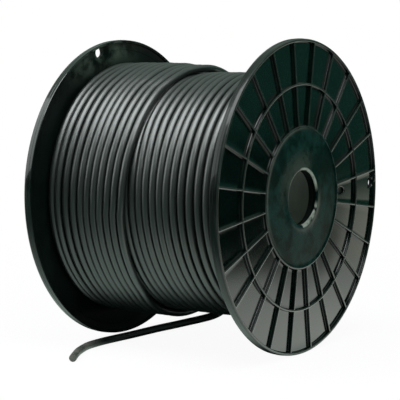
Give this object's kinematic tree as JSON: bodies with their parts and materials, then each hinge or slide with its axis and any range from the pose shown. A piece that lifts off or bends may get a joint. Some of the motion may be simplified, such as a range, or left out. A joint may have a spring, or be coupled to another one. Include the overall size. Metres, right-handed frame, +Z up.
{
  "type": "plastic cable drum",
  "caption": "Moulded black plastic cable drum lying on its flange rims, fully wound with round black cable whose loose end runs out on the floor.",
  "frame": {"origin": "on the floor, midway between the two flanges, under the drum axis", "axes": "+X along the drum axis towards the near flange, +Z up"},
  "size_m": [0.2176, 0.3025, 0.2994],
  "materials": {
    "drum_plastic": "satin moulded black plastic with a faint green cast",
    "cable_jacket": "smooth satin black cable jacket"
  },
  "bodies": {
    "root": {"flange_near": "drum_plastic", "flange_far": "drum_plastic", "barrel": "drum_plastic", "winding": "cable_jacket", "cable_tail": "cable_jacket"}
  },
  "joints": []
}
